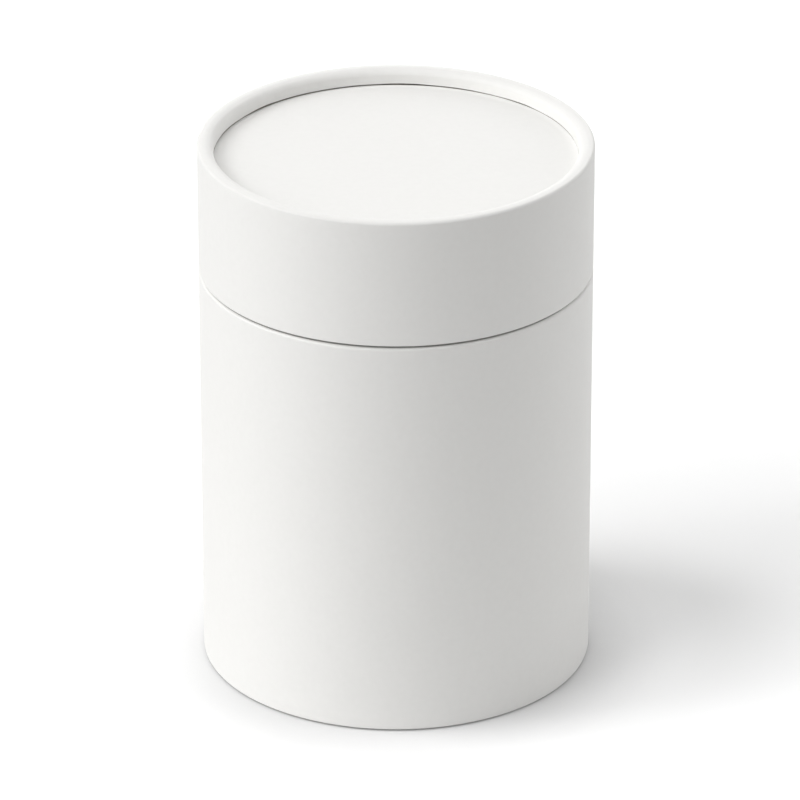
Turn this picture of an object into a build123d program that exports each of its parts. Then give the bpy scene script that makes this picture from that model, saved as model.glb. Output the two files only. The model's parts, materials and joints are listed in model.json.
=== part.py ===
"""Cylindrical gift tube box of wound board, covered in white paper.

The base is a wound board tube closed by a board disc, with a full-length inner tube glued in.
The inner tube stands proud of the base as a neck, and the lid slides down over it until its
ceiling rests on the neck, which leaves a fine shadow line between lid and base. A board ring
doubles the lid's top edge to a broad, crowned rim, which stands over a recessed board disc.

Frame: +Z up along the tube's axis, the origin on the axis at the floor. Millimetres.
"""

import os

from build123d import *

# Driving dimensions of the whole box
outer_radius = 50.0  # over the wrapping paper, the same on base and lid
base_height = 107.3  # floor to the base's top edge
seam_gap = 0.55  # open shadow line between the base's top edge and the lid
lid_height = 33.25  # the lid's lower edge to the crest of its rim

# Sheet and board thicknesses
wrap_paper = 0.2  # white paper outside, folded over the edges
lining_paper = 0.2  # white paper inside and on the flat panels
foot_card = 0.4  # stiff white card under the base
glue_film = 0.05  # between any two glued layers
lid_board = 1.5  # wall of the lid's wound tube
neck_board = 1.2  # wall of the inner tube
lid_disc_board = 1.8
base_disc_board = 2.0

# Rim of the lid, over its paper
rim_width = 4.0
rim_crest_inset = 2.0  # the crest, in from the outside
rim_outer_drop = 0.15  # the crown's fall from the crest to the outside
rim_inner_drop = 0.35  # and to the inside
rim_outer_round = 1.0
rim_crown_round = 5.0
rim_inner_round = 1.6
panel_depth = 3.9  # crest of the rim down to the recessed panel
rim_gap = 0.3  # open line between the rim's lower end and the panel

# Fits and margins
panel_margin = 0.15  # between the rim and the edge of the panel's paper
slide_clearance = 0.3  # radial, between the neck and the lid's turned-in paper
foot_inset = 2.0  # the foot card's edge, in from the outside

# Rounding of the folded edges, on the outer surface of the paper
lid_edge_radius = 0.35
base_top_edge_radius = 0.75
base_bottom_edge_radius = 0.35
neck_edge_radius = 0.5

# Lengths of the folded-over paper
lid_turn_in = 14.0  # up inside the lid
base_turn_in = 12.0  # down between the base tube and the neck
base_hem = 12.0  # in under the base
neck_turn_in = 10.0  # down inside the neck
neck_wrap_tuck = 15.0  # down below the base's top edge

# Radii, from the outside inwards
wrap_layer = wrap_paper + glue_film
lining_layer = lining_paper + glue_film
board_outer_radius = outer_radius - wrap_layer
lid_bore_radius = board_outer_radius - lid_board
lid_liner_radius = lid_bore_radius - glue_film
lid_turn_radius = lid_liner_radius - lining_layer
neck_radius = lid_turn_radius - wrap_paper - slide_clearance
neck_board_radius = neck_radius - wrap_layer
neck_bore_radius = neck_board_radius - neck_board
neck_liner_radius = neck_bore_radius - glue_film
neck_turn_radius = neck_liner_radius - lining_layer
base_turn_radius = neck_radius + glue_film + wrap_paper
base_bore_radius = base_turn_radius + glue_film
rim_crest_radius = outer_radius - rim_crest_inset
rim_inner_radius = outer_radius - rim_width

# Heights, from the floor upwards
hem_height = foot_card + glue_film
base_board_bottom = hem_height + wrap_layer
base_disc_top = base_board_bottom + base_disc_board
floor_height = base_disc_top + glue_film
lid_bottom = base_height + seam_gap
lid_top = lid_bottom + lid_height
panel_height = lid_top - panel_depth
lid_disc_top = panel_height - lining_layer
lid_disc_bottom = lid_disc_top - lid_disc_board
ceiling_height = lid_disc_bottom - lining_layer
neck_top = ceiling_height
rim_end = panel_height + rim_gap

# The wound tube of the base
base_board_top = base_height - wrap_layer
with BuildPart() as base_tube:
    with BuildSketch(Plane.XZ):
        with Locations((base_bore_radius, base_board_bottom)):
            Rectangle(
                board_outer_radius - base_bore_radius,
                base_board_top - base_board_bottom,
                align=(Align.MIN, Align.MIN),
            )
        top_corners = vertices().group_by(Axis.Y)[-1]
        fillet(top_corners, base_top_edge_radius - wrap_layer)
        foot_corner = vertices().group_by(Axis.Y)[0].sort_by(Axis.X)[-1]
        fillet(foot_corner, base_bottom_edge_radius - wrap_layer)
    revolve(axis=Axis.Z)
base_tube.part.label = "base_tube"

# The board disc that closes the base, inside the tube
with BuildPart() as base_disc:
    with BuildSketch(Plane.XY.offset(base_board_bottom)):
        Circle(base_bore_radius - glue_film)
    extrude(amount=base_disc_board)
base_disc.part.label = "base_disc"

# The base's outer paper: down from inside the top edge, over it, down the wall and in under
# the base. Its profile follows the middle of the paper.
base_wrap_inner = base_turn_radius - wrap_paper / 2
base_wrap_outer = outer_radius - wrap_paper / 2
base_wrap_top = base_height - wrap_paper / 2
base_wrap_bottom = hem_height + wrap_paper / 2
with BuildPart() as base_wrap:
    with BuildSketch(Plane.XZ):
        with BuildLine():
            FilletPolyline(
                (base_wrap_inner, base_height - base_turn_in),
                (base_wrap_inner, base_wrap_top),
                (base_wrap_outer, base_wrap_top),
                (base_wrap_outer, base_wrap_bottom),
                (outer_radius - base_hem, base_wrap_bottom),
                radius=[
                    base_top_edge_radius - wrap_paper / 2,
                    base_top_edge_radius - wrap_paper / 2,
                    base_bottom_edge_radius - wrap_paper / 2,
                ],
            )
        trace(line_width=wrap_paper)
    revolve(axis=Axis.Z)
base_wrap.part.label = "base_wrap"

# The card disc under the base, which hides the hem's edge and is the foot
with BuildPart() as foot_disc:
    with BuildSketch(Plane.XY):
        Circle(outer_radius - foot_inset)
    extrude(amount=foot_card)
foot_disc.part.label = "foot_disc"

# The paper disc on the inside of the bottom
with BuildPart() as floor_sheet:
    with BuildSketch(Plane.XY.offset(floor_height)):
        Circle(neck_liner_radius - lining_layer)
    extrude(amount=lining_paper)
floor_sheet.part.label = "floor_sheet"

# The inner tube, which stands on the bottom disc and rises out of the base as the neck
neck_board_top = neck_top - wrap_layer
with BuildPart() as neck_tube:
    with BuildSketch(Plane.XZ):
        with Locations((neck_bore_radius, floor_height)):
            Rectangle(neck_board, neck_board_top - floor_height, align=(Align.MIN, Align.MIN))
        mouth_corners = vertices().group_by(Axis.Y)[-1]
        fillet(mouth_corners, neck_edge_radius - wrap_layer)
    revolve(axis=Axis.Z)
neck_tube.part.label = "neck_tube"

# The paper that lines the inner tube
with BuildPart() as neck_liner:
    with BuildSketch(Plane.XY.offset(floor_height)):
        Circle(neck_liner_radius)
        Circle(neck_liner_radius - lining_paper, mode=Mode.SUBTRACT)
    extrude(amount=neck_top - neck_edge_radius - floor_height)
neck_liner.part.label = "neck_liner"

# The neck's white paper: up its outside, over its top edge and down over the lining
neck_wrap_outer = neck_radius - wrap_paper / 2
neck_wrap_inner = neck_turn_radius - wrap_paper / 2
neck_wrap_top = neck_top - wrap_paper / 2
with BuildPart() as neck_wrap:
    with BuildSketch(Plane.XZ):
        with BuildLine():
            FilletPolyline(
                (neck_wrap_outer, base_height - neck_wrap_tuck),
                (neck_wrap_outer, neck_wrap_top),
                (neck_wrap_inner, neck_wrap_top),
                (neck_wrap_inner, neck_top - neck_turn_in),
                radius=neck_edge_radius - wrap_paper / 2,
            )
        trace(line_width=wrap_paper)
    revolve(axis=Axis.Z)
neck_wrap.part.label = "neck_wrap"

# The rim's outline at some depth under its surface, from its lower end out to the wall
def rim_corners(depth):
    return [
        (rim_inner_radius + depth, rim_end),
        (rim_inner_radius + depth, lid_top - rim_inner_drop - depth),
        (rim_crest_radius, lid_top - depth),
        (outer_radius - depth, lid_top - rim_outer_drop - depth),
    ]


def rim_rounds(depth):
    return [rim_inner_round - depth, rim_crown_round - depth, rim_outer_round - depth]


# The space inside the lid's outer paper, which its tube and ring fill
lid_board_bottom = lid_bottom + wrap_layer
with BuildSketch(Plane.XZ) as lid_board_space:
    with BuildLine():
        crown = FilletPolyline(
            *rim_corners(wrap_layer),
            (board_outer_radius, lid_board_bottom),
            radius=rim_rounds(wrap_layer),
        )
        Polyline(crown @ 1, (rim_inner_radius + wrap_layer, lid_board_bottom), crown @ 0)
    make_face()

# The lid's wound tube
with BuildPart() as lid_tube:
    with BuildSketch(Plane.XZ):
        add(lid_board_space.sketch)
        with Locations((lid_bore_radius, lid_board_bottom)):
            Rectangle(lid_board, lid_height, align=(Align.MIN, Align.MIN), mode=Mode.INTERSECT)
        lower_corners = vertices().group_by(Axis.Y)[0]
        fillet(lower_corners, lid_edge_radius - wrap_layer)
    revolve(axis=Axis.Z)
lid_tube.part.label = "lid_tube"

# The ring that doubles the tube's top edge
with BuildPart() as rim_ring:
    with BuildSketch(Plane.XZ):
        add(lid_board_space.sketch)
        with Locations((lid_bore_radius - glue_film, rim_end)):
            Rectangle(rim_width, lid_height, align=(Align.MAX, Align.MIN), mode=Mode.INTERSECT)
    revolve(axis=Axis.Z)
rim_ring.part.label = "rim_ring"

# The lid's outer paper: down from inside the lid, round its lower edge, up the wall and over the
# rim down to the panel. Its profile follows the middle of the paper.
lid_wrap_inner = lid_turn_radius - wrap_paper / 2
lid_wrap_outer = outer_radius - wrap_paper / 2
lid_wrap_bottom = lid_bottom + wrap_paper / 2
with BuildPart() as lid_wrap:
    with BuildSketch(Plane.XZ):
        with BuildLine():
            FilletPolyline(
                *rim_corners(wrap_paper / 2),
                (lid_wrap_outer, lid_wrap_bottom),
                (lid_wrap_inner, lid_wrap_bottom),
                (lid_wrap_inner, lid_bottom + lid_turn_in),
                radius=[
                    *rim_rounds(wrap_paper / 2),
                    lid_edge_radius - wrap_paper / 2,
                    lid_edge_radius - wrap_paper / 2,
                ],
            )
        trace(line_width=wrap_paper)
    revolve(axis=Axis.Z)
lid_wrap.part.label = "lid_wrap"

# The board disc of the lid, glued in under the rim
with BuildPart() as lid_disc:
    with BuildSketch(Plane.XY.offset(lid_disc_bottom)):
        Circle(lid_bore_radius - glue_film)
    extrude(amount=lid_disc_board)
lid_disc.part.label = "lid_disc"

# The paper of the recessed panel, cut a little smaller than the rim
with BuildPart() as panel_sheet:
    with BuildSketch(Plane.XY.offset(lid_disc_top + glue_film)):
        Circle(rim_inner_radius - panel_margin)
    extrude(amount=lining_paper)
panel_sheet.part.label = "panel_sheet"

# The paper on the lid's ceiling, which rests on the neck
with BuildPart() as ceiling_sheet:
    with BuildSketch(Plane.XY.offset(ceiling_height)):
        Circle(lid_liner_radius)
    extrude(amount=lining_paper)
ceiling_sheet.part.label = "ceiling_sheet"

# The paper that lines the lid's wall, under the turned-in edge of the outer paper
lid_liner_bottom = lid_bottom + lid_edge_radius
with BuildPart() as lid_liner:
    with BuildSketch(Plane.XY.offset(lid_liner_bottom)):
        Circle(lid_liner_radius)
        Circle(lid_liner_radius - lining_paper, mode=Mode.SUBTRACT)
    extrude(amount=ceiling_height - glue_film - lid_liner_bottom)
lid_liner.part.label = "lid_liner"

pieces = [
    base_tube,
    base_disc,
    base_wrap,
    foot_disc,
    floor_sheet,
    neck_tube,
    neck_liner,
    neck_wrap,
    lid_tube,
    rim_ring,
    lid_wrap,
    lid_disc,
    panel_sheet,
    ceiling_sheet,
    lid_liner,
]
os.makedirs("parts", exist_ok=True)
for piece in pieces:
    export_step(piece.part, f"parts/{piece.part.label}.step")
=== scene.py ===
"""Looks of the white gift tube box: papers, boards, floor, light and camera, in metres."""

import json
import math
from itertools import pairwise

import bmesh
import bpy
from mathutils import Matrix, Vector, noise


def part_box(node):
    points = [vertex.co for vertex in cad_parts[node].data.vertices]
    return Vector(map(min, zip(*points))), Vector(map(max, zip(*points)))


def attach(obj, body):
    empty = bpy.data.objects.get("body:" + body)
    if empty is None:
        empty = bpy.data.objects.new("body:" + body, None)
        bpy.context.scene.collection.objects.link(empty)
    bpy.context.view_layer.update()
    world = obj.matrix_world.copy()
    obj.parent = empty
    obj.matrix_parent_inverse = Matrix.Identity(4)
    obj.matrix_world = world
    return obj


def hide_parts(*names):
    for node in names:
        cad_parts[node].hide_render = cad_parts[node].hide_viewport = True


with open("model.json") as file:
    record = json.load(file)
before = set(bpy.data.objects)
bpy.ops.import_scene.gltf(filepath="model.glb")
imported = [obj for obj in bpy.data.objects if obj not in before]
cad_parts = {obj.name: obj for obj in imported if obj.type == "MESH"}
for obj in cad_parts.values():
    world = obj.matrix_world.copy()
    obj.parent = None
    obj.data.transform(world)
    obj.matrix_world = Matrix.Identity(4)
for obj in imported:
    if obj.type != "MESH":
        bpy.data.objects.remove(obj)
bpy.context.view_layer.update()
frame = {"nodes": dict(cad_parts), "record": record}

mm = 0.001

# The body and the material slot of each node
bodies = frame["record"]["behaviour"]["bodies"]
body_names = {node: body for body, nodes in bodies.items() for node in nodes}
slots = {part["node"]: part["material_slot"] for part in frame["record"]["subparts"]}

# Sizes read from the frame
outer_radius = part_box("base_wrap")[1].x
hem_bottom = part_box("base_wrap")[0].z
base_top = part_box("base_wrap")[1].z
lid_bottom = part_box("lid_wrap")[0].z
neck_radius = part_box("neck_wrap")[1].x
neck_wrap_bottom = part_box("neck_wrap")[0].z
neck_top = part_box("neck_wrap")[1].z
floor_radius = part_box("floor_sheet")[1].x
panel_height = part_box("panel_sheet")[1].z
paper = panel_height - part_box("panel_sheet")[0].z
half = paper / 2
wall_middle = outer_radius - half

# Fits and folds of the papers, as in the solids
glue_film = 0.05 * mm
slide_clearance = 0.3 * mm
rim_width = 4.0 * mm
rim_crest_inset = 2.0 * mm
rim_inner_round = 1.6 * mm
panel_depth = 3.9 * mm
rim_gap = 0.3 * mm
base_top_edge_radius = 0.75 * mm
base_bottom_edge_radius = 0.35 * mm
neck_edge_radius = 0.5 * mm
lid_turn_in = 14.0 * mm
base_turn_in = 12.0 * mm
base_hem = 12.0 * mm
neck_turn_in = 10.0 * mm

# The rim's crown, rounder and higher than in the solids, and the lid's lower edge, tighter and higher
rim_rise = 0.35 * mm
rim_outer_drop = 0.2 * mm
rim_inner_drop = 0.75 * mm
rim_crown_round = 3.0 * mm
rim_outer_round = 0.8 * mm
lid_edge_radius = 0.24 * mm
lid_edge_rise = 0.12 * mm

# Fineness of the turned meshes
row_step = 1.4 * mm
row_tolerance = 0.0001  # share of a row that is too little to add one for
steps_around = 360
steps_per_fold = 12
sharp_angle = math.radians(50)
weld_distance = 0.0005 * mm

# The lap of a paper's ends: a ramp up over the under end, the lap, and a cut edge
lap_width = 8.0 * mm
lap_ramp = 0.7 * mm
lap_ramp_shares = (0.0, 0.25, 0.75, 1.0)
lap_cut = 0.05 * mm
lap_fade = 1.5 * mm
base_lap_angle = math.radians(92)
lid_lap_angle = math.radians(99)
neck_lap_angle = math.radians(66)

# The panel's paper reaches the rim, and its edge curls up and closes the line, but not at the back
panel_fit = 0.03 * mm
curl_height = 0.27 * mm
curl_width = 1.25 * mm
flat_angle = math.radians(110)
flat_half_width = math.radians(30)
curl_half_width = math.radians(80)

# Unevenness of the glued paper and of its cut ends
wave_height = 0.012 * mm
wave_length = 11.0 * mm
rumple_height = 0.06 * mm
rumple_length = 3.5 * mm
end_waver = 0.25 * mm
end_waver_length = 9.0 * mm

# Patterns of soft noise: length of a patch, stretch along each axis, detail, and offset in patches
patterns = {
    "formation": (1.6 * mm, (1.0, 1.0, 1.0), 3.0, 0.0),
    "wear": (2.5 * mm, (1.0, 1.0, 1.0), 3.0, 3.0),
    "soil": (1.0 * mm, (1.0, 1.0, 1.0), 3.0, 5.0),
    "tooth": (0.22 * mm, (1.0, 1.0, 1.0), 2.0, 0.0),
    "fibres": (0.25 * mm, (1.0, 1.0, 5.0), 1.0, 7.0),
    "unevenness": (2.6 * mm, (1.0, 1.0, 2.2), 2.0, 11.0),
    "board_mottle": (1.2 * mm, (1.0, 1.0, 1.0), 3.0, 0.0),
    "board_flecks": (0.5 * mm, (1.0, 1.0, 1.0), 3.0, 5.0),
    "board_tooth": (0.3 * mm, (1.0, 1.0, 1.0), 4.0, 9.0),
}
noise_low = 0.3
noise_high = 0.7

# Paper: its colours, gloss and sheen, and how deep its marks go
wrap_colour = (0.799, 0.794, 0.776)
wrap_roughness = 0.68
wrap_unevenness = 0.055 * mm
lining_colour = (0.779, 0.773, 0.752)
lining_roughness = 0.75
lining_unevenness = 0.03 * mm
roughness_spread = 0.05
paper_specular = 0.3
paper_sheen = 0.05
paper_sheen_roughness = 0.5
formation_depth = 0.985
fold_depth = 0.975
# Painted shade in the seam between lid and base: the factor on the paper's colour there, and the
# least share of it that its patches keep
seam_shade_depth = 0.55
seam_shade_least = 0.8
tooth_height = 0.0015 * mm
fibre_height = 0.002 * mm

# Board: its colour and gloss, and how deep its marks go
board_colour = (0.5, 0.465, 0.41)
board_roughness = 0.85
board_specular = 0.2
board_light = 1.08
board_dark = 0.88
fleck_colour = (0.3, 0.27, 0.24)
fleck_low = 0.62
fleck_high = 0.7
board_tooth_height = 0.03 * mm


# Shader nodes

# The Mix node's sockets for its share and its two colours, and for the colour that it makes
mix_inputs = (0, 6, 7)
mix_output = 2


def add_node(tree, kind, links=None, **values):
    """Adds a shader node. links maps its inputs to sockets or values; values set its fields."""
    made = tree.nodes.new("ShaderNode" + kind)
    for field, value in values.items():
        setattr(made, field, value)
    for name, source in (links or {}).items():
        if isinstance(source, bpy.types.NodeSocket):
            tree.links.new(source, made.inputs[name])
        else:
            made.inputs[name].default_value = source
    return made


def new_material(name):
    """A node material with only its output node, which is returned with its tree."""
    material = bpy.data.materials.new(name)
    material.use_nodes = True
    tree = material.node_tree
    tree.nodes.clear()
    return material, tree, add_node(tree, "OutputMaterial")


def patches(tree, pattern):
    """Soft noise, mostly between noise_low and noise_high, from that entry of the patterns."""
    length, stretch, detail, offset = patterns[pattern]
    place = add_node(tree, "TexCoord").outputs["Object"]
    spread = tuple(1 / (length * share) for share in stretch)
    scaled = add_node(
        tree, "Mapping", {"Vector": place, "Scale": spread, "Location": (offset, offset, offset)}
    )
    return add_node(
        tree, "TexNoise", {"Vector": scaled.outputs["Vector"], "Scale": 1.0, "Detail": detail}
    ).outputs["Fac"]


def ranged(tree, value, low=0.0, high=1.0, start=noise_low, end=noise_high):
    """Maps a value between start and end to between low and high."""
    return add_node(
        tree,
        "MapRange",
        {"Value": value, "From Min": start, "From Max": end, "To Min": low, "To Max": high},
    ).outputs["Result"]


def product(tree, first, second):
    """One value times another."""
    return add_node(tree, "Math", {0: first, 1: second}, operation="MULTIPLY").outputs["Value"]


def mixed(tree, share, first, second):
    """A colour between first and second."""
    made = add_node(tree, "Mix", data_type="RGBA")
    for socket, source in zip(mix_inputs, (share, first, second)):
        if isinstance(source, bpy.types.NodeSocket):
            tree.links.new(source, made.inputs[socket])
        else:
            made.inputs[socket].default_value = source
    return made.outputs[mix_output]


def shaded(colour, depth):
    """A colour made darker or lighter by a factor, with its alpha."""
    return (*(channel * depth for channel in colour), 1)


def painted(tree, attribute):
    """The value that a turned sheet's points carry under that name."""
    return add_node(tree, "Attribute", attribute_name=attribute).outputs["Fac"]


def bumped(tree, height, distance, normal=None):
    """A normal tilted by a height from 0 to 1, which stands for that distance."""
    links = {"Height": height, "Distance": distance}
    if normal is not None:
        links["Normal"] = normal
    return add_node(tree, "Bump", links).outputs["Normal"]


def paper_material(name, colour, roughness, unevenness):
    """Uncoated paper: clouds, fine tooth, stray fibres, rubbed folds, and painted shade in the seam.
    """
    material, tree, output = new_material(name)
    clouds = ranged(tree, patches(tree, "formation"))
    tint = mixed(tree, clouds, shaded(colour, formation_depth), shaded(colour, 1))
    worn = product(tree, painted(tree, "fold"), ranged(tree, patches(tree, "wear")))
    tint = mixed(tree, worn, tint, shaded(colour, fold_depth))
    # Painted shade on the base's top edge, in the seam between lid and base
    soil = product(tree, painted(tree, "soil"), ranged(tree, patches(tree, "soil"), seam_shade_least))
    tint = mixed(tree, soil, tint, shaded(colour, seam_shade_depth))
    tooth = patches(tree, "tooth")
    normal = bumped(tree, patches(tree, "unevenness"), unevenness)
    normal = bumped(tree, patches(tree, "fibres"), fibre_height, normal)
    normal = bumped(tree, tooth, tooth_height, normal)
    surface = add_node(
        tree,
        "BsdfPrincipled",
        {
            "Base Color": tint,
            "Roughness": ranged(
                tree, tooth, roughness - roughness_spread, roughness + roughness_spread
            ),
            "Specular IOR Level": paper_specular,
            "Sheen Weight": paper_sheen,
            "Sheen Roughness": paper_sheen_roughness,
            "Normal": normal,
        },
    )
    tree.links.new(surface.outputs["BSDF"], output.inputs["Surface"])
    return material


def board_material(name, colour, roughness):
    """Grey board of recycled pulp: dark flecks in a mottled ground."""
    material, tree, output = new_material(name)
    ground = ranged(tree, patches(tree, "board_mottle"))
    tint = mixed(tree, ground, shaded(colour, board_dark), shaded(colour, board_light))
    flecks = ranged(tree, patches(tree, "board_flecks"), start=fleck_low, end=fleck_high)
    tint = mixed(tree, flecks, tint, shaded(fleck_colour, 1))
    surface = add_node(
        tree,
        "BsdfPrincipled",
        {
            "Base Color": tint,
            "Roughness": roughness,
            "Specular IOR Level": board_specular,
            "Normal": bumped(tree, patches(tree, "board_tooth"), board_tooth_height),
        },
    )
    tree.links.new(surface.outputs["BSDF"], output.inputs["Surface"])
    return material


finishes = {
    "white_wrap_paper": paper_material(
        "wrap_paper", wrap_colour, wrap_roughness, wrap_unevenness
    ),
    "white_lining_paper": paper_material(
        "lining_paper", lining_colour, lining_roughness, lining_unevenness
    ),
    "grey_board": board_material("grey_board", board_colour, board_roughness),
}


# Turned sheets of paper


def clamped(share):
    """A share held between 0 and 1."""
    return min(1, max(0, share))


def folded_path(corners, radii):
    """Stations along the middle of a folded sheet: (point, normal to the left, on a fold).

    corners are the path's sharp corners as (radius, height), and radii round the inner ones.
    """
    corners = [Vector(corner) for corner in corners]
    ways = [(end - start).normalized() for start, end in pairwise(corners)]
    turns = [math.atan2(way.cross(onward), way.dot(onward)) for way, onward in pairwise(ways)]
    trims = [radius * math.tan(abs(turn) / 2) for radius, turn in zip(radii, turns)]
    trims = [0, *trims, 0]
    stations = []
    for index, way in enumerate(ways):
        start = corners[index] + way * trims[index]
        end = corners[index + 1] - way * trims[index + 1]
        left = Vector((-way.y, way.x))
        rows = math.ceil((end - start).length / row_step - row_tolerance)
        for row in range(rows + 1):
            stations.append((start.lerp(end, row / max(rows, 1)), left, 0.0))
        if index == len(turns):
            break
        arm = radii[index] * math.copysign(1, turns[index])
        centre = end + left * arm
        for step in range(1, steps_per_fold):
            normal = Matrix.Rotation(turns[index] * step / steps_per_fold, 2) @ left
            stations.append((centre - normal * arm, normal, 1.0))
    return stations


def columns(lap_angle):
    """The angles of a turned sheet's columns, each with how far it stands on the under end."""
    turn = 2 * math.pi
    if lap_angle is None:
        return [(turn * step / steps_around, 0.0) for step in range(steps_around)]
    ramp_steps = len(lap_ramp_shares) - 1
    lap = [(lap_ramp * step / ramp_steps, share) for step, share in enumerate(lap_ramp_shares)]
    lap += [(lap_width / 2, 1.0), (lap_width, 1.0), (lap_width + lap_cut, 0.0)]
    made = [(lap_angle + length / outer_radius, share) for length, share in lap]
    start = made[-1][0]
    rest = turn + lap_angle - start
    made += [(start + rest * step / steps_around, 0.0) for step in range(1, steps_around)]
    return made


def everywhere(radius, height):
    """1 at each radius and height."""
    return 1.0


def nowhere(radius, height):
    """0 at each radius and height."""
    return 0.0


def flat(angle, radius):
    """Not raised at any angle and radius."""
    return 0.0


def turned_sheet(
    name,
    node,
    corners,
    radii=(),
    lap_angle=None,
    lap_shows=everywhere,
    rumpled=nowhere,
    seam_shaded=nowhere,
    raised=flat,
    waver=end_waver,
    thickness=paper,
):
    """A closed sheet of paper turned about the tube's axis, in place of a CAD node.

    lap_shows, rumpled and seam_shaded are the shares of the lap's thickness, of the rumples' height
    and of the painted seam shade that show at a radius and height. raised is how far the sheet stands
    up at an angle and radius, and waver how far its cut ends stray.
    """
    stations = folded_path(corners, radii)
    around = columns(lap_angle)
    ends = (stations[0], stations[-1])
    shape = bmesh.new()
    fold_layer = shape.verts.layers.float.new("fold")
    # How much of the painted seam shade each point of the sheet carries
    seam_shade_layer = shape.verts.layers.float.new("soil")
    rings = []
    for side in (1, -1):
        for station in stations[::side]:
            point, normal, fold = station
            ring = []
            for angle, lap in around:
                outward = Vector((math.cos(angle), math.sin(angle), 0))
                middle = outward * point.x + Vector((0, 0, point.y))
                lift = side * thickness / 2 + wave_height * noise.noise(middle / wave_length)
                rumple = rumple_height * noise.noise(middle / rumple_length)
                lift += rumple * rumpled(*point)
                if side > 0:
                    lift += paper * lap * lap_shows(*point)
                spot = point + normal * lift
                if station in ends:
                    stray = waver * noise.noise(middle / end_waver_length)
                    spot += Vector((normal.y, -normal.x)) * stray
                top = Vector((0, 0, spot.y + raised(angle, point.x)))
                vert = shape.verts.new(outward * max(spot.x, 0) + top)
                vert[fold_layer] = fold
                vert[seam_shade_layer] = seam_shaded(*point)
                ring.append(vert)
            rings.append(ring)
    for ring, onward in zip(rings, [*rings[1:], rings[0]]):
        for column, corner in enumerate(ring):
            beside = (column + 1) % len(ring)
            shape.faces.new((corner, ring[beside], onward[beside], onward[column]))
    bmesh.ops.remove_doubles(shape, verts=shape.verts, dist=weld_distance)
    bmesh.ops.recalc_face_normals(shape, faces=shape.faces)
    mesh = bpy.data.meshes.new(name)
    shape.to_mesh(mesh)
    shape.free()
    mesh.shade_smooth()
    mesh.set_sharp_from_angle(angle=sharp_angle)
    mesh.materials.append(finishes[slots[node]])
    piece = bpy.data.objects.new(name, mesh)
    bpy.context.scene.collection.objects.link(piece)
    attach(piece, body_names[node])
    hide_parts(node)


def flat_disc(name, node, radius=None, raised=flat):
    """A round flat sheet with a clean edge, in place of a CAD node, whose radius is the default."""
    low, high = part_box(node)
    middle = (low.z + high.z) / 2
    corners = [(0, middle), (radius or high.x, middle)]
    thickness = high.z - low.z
    turned_sheet(name, node, corners, raised=raised, waver=0.0, thickness=thickness)


def lining(name, node):
    """A paper lining of a tube, in place of a CAD node of the same size."""
    low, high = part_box(node)
    middle = high.x - half
    turned_sheet(name, node, [(middle, low.z), (middle, high.z)])


# The base's outer paper


def base_lap(radius, height):
    """Near 0 on the turned-in end, which is pressed flat, rising to 1 across the top edge."""
    return clamped((radius - neck_radius) / lap_fade)


def seam_shade_mask(radius, height):
    """1 on the base's top edge inside its outer fold, where shade is painted into the seam between
    lid and base.
    """
    on_edge = height > base_top - paper and radius < outer_radius - base_top_edge_radius
    return 1.0 if on_edge else 0.0


def make_base_wrap():
    """The base's paper: turned in over the top edge, down the wall, and hemmed under the base."""
    turn_in_middle = neck_radius + glue_film + half
    corners = [
        (turn_in_middle, base_top - base_turn_in),
        (turn_in_middle, base_top - half),
        (wall_middle, base_top - half),
        (wall_middle, hem_bottom + half),
        (outer_radius - base_hem, hem_bottom + half),
    ]
    radii = [
        base_top_edge_radius - half,
        base_top_edge_radius - half,
        base_bottom_edge_radius - half,
    ]
    turned_sheet(
        "base_wrap_paper", "base_wrap", corners, radii, base_lap_angle, base_lap, seam_shaded=seam_shade_mask
    )


# The lid's outer paper

lid_top = panel_height + panel_depth + rim_rise
rim_inner_radius = outer_radius - rim_width
rim_crest_radius = outer_radius - rim_crest_inset
lid_turn_middle = neck_radius + slide_clearance + half


def lid_lap(radius, height):
    """1 on the lid's wall, easing to 0 under the rim, and 0 on the turn-in: pressed flat there."""
    on_wall = radius > lid_turn_middle + half
    return clamped((lid_top - rim_outer_round - height) / lap_fade) if on_wall else 0.0


def inner_rim(radius, height):
    """1 on the rim's inner face, easing to 0 at its crest."""
    on_rim = height > panel_height
    return clamped((rim_crest_radius - radius) / rim_inner_round) if on_rim else 0.0


def make_lid_wrap():
    """The lid's paper: up the rim's inner face, over its crown, down the wall and turned in."""
    edge_height = lid_bottom + lid_edge_rise + half
    corners = [
        (rim_inner_radius + half, panel_height + rim_gap),
        (rim_inner_radius + half, lid_top - rim_inner_drop - half),
        (rim_crest_radius, lid_top - half),
        (wall_middle, lid_top - rim_outer_drop - half),
        (wall_middle, edge_height),
        (lid_turn_middle, edge_height),
        (lid_turn_middle, lid_bottom + lid_turn_in),
    ]
    radii = [
        rim_inner_round - half,
        rim_crown_round - half,
        rim_outer_round - half,
        lid_edge_radius - half,
        lid_edge_radius - half,
    ]
    turned_sheet("lid_wrap_paper", "lid_wrap", corners, radii, lid_lap_angle, lid_lap, inner_rim)


# The neck's paper


def neck_lap(radius, height):
    """0 where the base's paper is glued over the neck, rising to 1 above it."""
    return clamped((height - base_top) / lap_fade)


def make_neck_wrap():
    """The neck's paper: up inside the mouth, over its edge and down the outside."""
    inner_middle = floor_radius - half
    outer_middle = neck_radius - half
    corners = [
        (inner_middle, neck_top - neck_turn_in),
        (inner_middle, neck_top - half),
        (outer_middle, neck_top - half),
        (outer_middle, neck_wrap_bottom),
    ]
    radii = [neck_edge_radius - half, neck_edge_radius - half]
    turned_sheet("neck_wrap_paper", "neck_wrap", corners, radii, neck_lap_angle, neck_lap)


# The recessed panel's paper

panel_radius = rim_inner_radius - panel_fit


def curled(angle, radius):
    """How far the panel's paper stands up towards its edge, at an angle and radius."""
    towards_edge = max(0, (radius - panel_radius) / curl_width + 1)
    none, full = math.cos(flat_half_width), math.cos(curl_half_width)
    share = (none - math.cos(angle - flat_angle)) / (none - full)
    return curl_height * towards_edge * clamped(share)


# All the papers, and then the boards, which keep the solids' shapes

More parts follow.
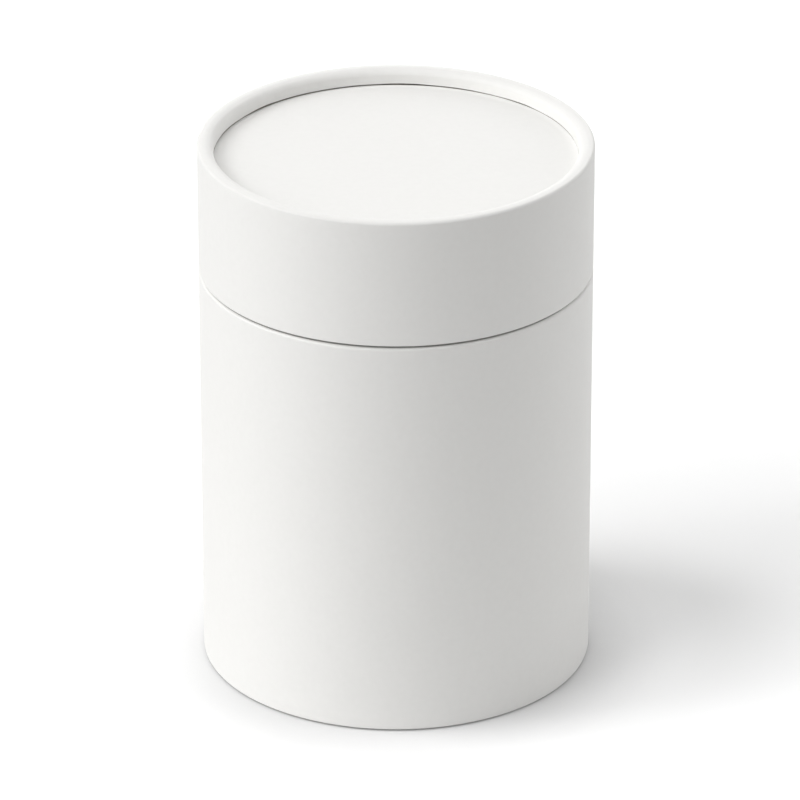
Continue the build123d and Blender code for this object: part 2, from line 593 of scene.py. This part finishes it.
make_base_wrap()
make_lid_wrap()
make_neck_wrap()
flat_disc("panel_paper", "panel_sheet", panel_radius, curled)
flat_disc("ceiling_paper", "ceiling_sheet")
flat_disc("floor_paper", "floor_sheet")
flat_disc("foot_card", "foot_disc")
lining("neck_liner_paper", "neck_liner")
lining("lid_liner_paper", "lid_liner")

for name, board in frame["nodes"].items():
    if slots[name] == "grey_board":
        board.data.materials.clear()
        board.data.materials.append(finishes["grey_board"])


# Floor and background

floor_size = 30.0
floor_height = 0.03 * mm
floor_white = 0.93
floor_glow = 0.104
# Painted contact shadow on the floor: how far it reaches, and how dark it gets at the contact
contact_reach = 25.0 * mm
contact_white = 0.33
background_white = 0.99

# The white table that the floor stands for where it throws light back. It fades out between two
# distances from its centre, which lies to the left, and reaches table_stretch times as far along X.
table_white = 0.747
beyond_white = 0.249
table_start = 0.25
table_end = 0.55
table_stretch = 4.0
table_centre = -0.4


def grey(white):
    """A plain grey of that whiteness."""
    return (white, white, white, 1)


def seen_directly(tree):
    """1 for rays from the camera, and for reflected and transmitted ones, else 0."""
    path = add_node(tree, "LightPath").outputs
    seen = path["Is Camera Ray"]
    for kind in ("Is Glossy Ray", "Is Transmission Ray"):
        seen = add_node(tree, "Math", {0: seen, 1: path[kind]}, operation="MAXIMUM").outputs[0]
    return seen


def floor_material():
    """A matte floor that is white where nothing shades it, and isn't seen from below.

    It carries a painted contact shadow, darker where something stands close over it. What it throws
    back at the box comes from a wide white table, and little from beyond it.
    """
    material, tree, output = new_material("floor")
    # Painted contact shadow: the floor's colour darkens towards contact_white near anything standing
    # over it
    openness = add_node(tree, "AmbientOcclusion", {"Distance": contact_reach}).outputs["AO"]
    shown = add_node(
        tree, "BsdfDiffuse", {"Color": mixed(tree, openness, grey(contact_white), grey(floor_white))}
    )
    glow = add_node(tree, "Emission", {"Strength": floor_glow})
    seen = add_node(tree, "AddShader", {0: shown.outputs["BSDF"], 1: glow.outputs["Emission"]})
    place = add_node(tree, "TexCoord").outputs["Object"]
    squeeze = {
        "Vector": place,
        "Location": (-table_centre / table_stretch, 0, 0),
        "Scale": (1 / table_stretch, 1, 1),
    }
    squeezed = add_node(tree, "Mapping", squeeze).outputs["Vector"]
    distance = add_node(tree, "VectorMath", {0: squeezed}, operation="LENGTH").outputs["Value"]
    beyond = ranged(tree, distance, start=table_start, end=table_end)
    thrown = add_node(
        tree, "BsdfDiffuse", {"Color": mixed(tree, beyond, grey(table_white), grey(beyond_white))}
    )
    lit = add_node(
        tree,
        "MixShader",
        {0: seen_directly(tree), 1: thrown.outputs["BSDF"], 2: seen.outputs["Shader"]},
    )
    below = add_node(tree, "NewGeometry").outputs["Backfacing"]
    clear = add_node(tree, "BsdfTransparent").outputs["BSDF"]
    side = add_node(tree, "MixShader", {0: below, 1: lit.outputs["Shader"], 2: clear})
    tree.links.new(side.outputs["Shader"], output.inputs["Surface"])
    return material


def make_floor():
    """The plain floor that the box stands on, a hair above the foot's waves so as not to cut them."""
    reach = floor_size / 2
    mesh = bpy.data.meshes.new("floor")
    corners = [(-reach, -reach, 0), (reach, -reach, 0), (reach, reach, 0), (-reach, reach, 0)]
    mesh.from_pydata(corners, [], [(0, 1, 2, 3)])
    mesh.materials.append(floor_material())
    floor = bpy.data.objects.new("floor", mesh)
    floor.location.z = floor_height
    bpy.context.scene.collection.objects.link(floor)


def make_world():
    """A white background that lights nothing."""
    world = bpy.data.worlds.new("studio")
    bpy.context.scene.world = world
    world.use_nodes = True
    tree = world.node_tree
    tree.nodes.clear()
    white = add_node(tree, "Background", {"Color": grey(1), "Strength": background_white})
    chosen = add_node(tree, "MixShader", {0: seen_directly(tree), 2: white.outputs["Background"]})
    output = add_node(tree, "OutputWorld")
    tree.links.new(chosen.outputs["Shader"], output.inputs["Surface"])


# Lamps: azimuth from the viewer's side towards +X, elevation and spread in degrees, and strength
lamps = {
    "left_soft": (-60, 25, 40, 0.97),
    "left_front": (-60, 40, 40, 0.59),
    "left_side": (-90, 40, 30, 0.90),
    "left_high": (-90, 70, 12, 0.50),
    "front_high": (-30, 50, 40, 0.41),
    "front_low": (0, 5, 50, 0.59),
    "right_side": (90, 35, 50, 0.80),
    "right_low": (90, 5, 40, 0.23),
    "right_behind": (120, 5, 40, 0.80),
    "behind_low": (180, 15, 60, 1.36),
    "behind_high": (180, 45, 60, 0.28),
    "under_floor": (0, -70, 60, 2.6),
}


def make_lamp(name, azimuth, elevation, spread, strength):
    """A distant soft light that comes from that azimuth and elevation, in degrees."""
    lamp = bpy.data.lights.new(name, "SUN")
    lamp.energy = strength
    lamp.angle = math.radians(spread)
    holder = bpy.data.objects.new(name, lamp)
    across, up = math.radians(azimuth), math.radians(elevation)
    source = Vector((math.sin(across) * math.cos(up), -math.cos(across) * math.cos(up), math.sin(up)))
    holder.rotation_euler = source.to_track_quat("Z", "Y").to_euler()
    bpy.context.scene.collection.objects.link(holder)


# The photograph's view
camera_elevation = math.radians(25.83)
camera_distance = 1.673
camera_lens = 294.1
sensor_width = 36.0
nearest_seen = 0.017
aim = Vector((1.0 * mm, 0, 69.2 * mm))


def make_camera():
    """The camera, level, in front of the box and looking down on it."""
    data = bpy.data.cameras.new("camera")
    data.sensor_width = sensor_width
    data.lens = camera_lens
    data.clip_start = nearest_seen
    data.clip_end = floor_size
    camera = bpy.data.objects.new("camera", data)
    back = Vector((0, -math.cos(camera_elevation), math.sin(camera_elevation)))
    camera.location = aim + back * camera_distance
    camera.rotation_euler = back.to_track_quat("Z", "Y").to_euler()
    bpy.context.scene.collection.objects.link(camera)
    bpy.context.scene.camera = camera


make_floor()
make_world()
for name, (azimuth, elevation, spread, strength) in lamps.items():
    make_lamp(name, azimuth, elevation, spread, strength)
make_camera()
bpy.context.scene.view_settings.view_transform = "Standard"
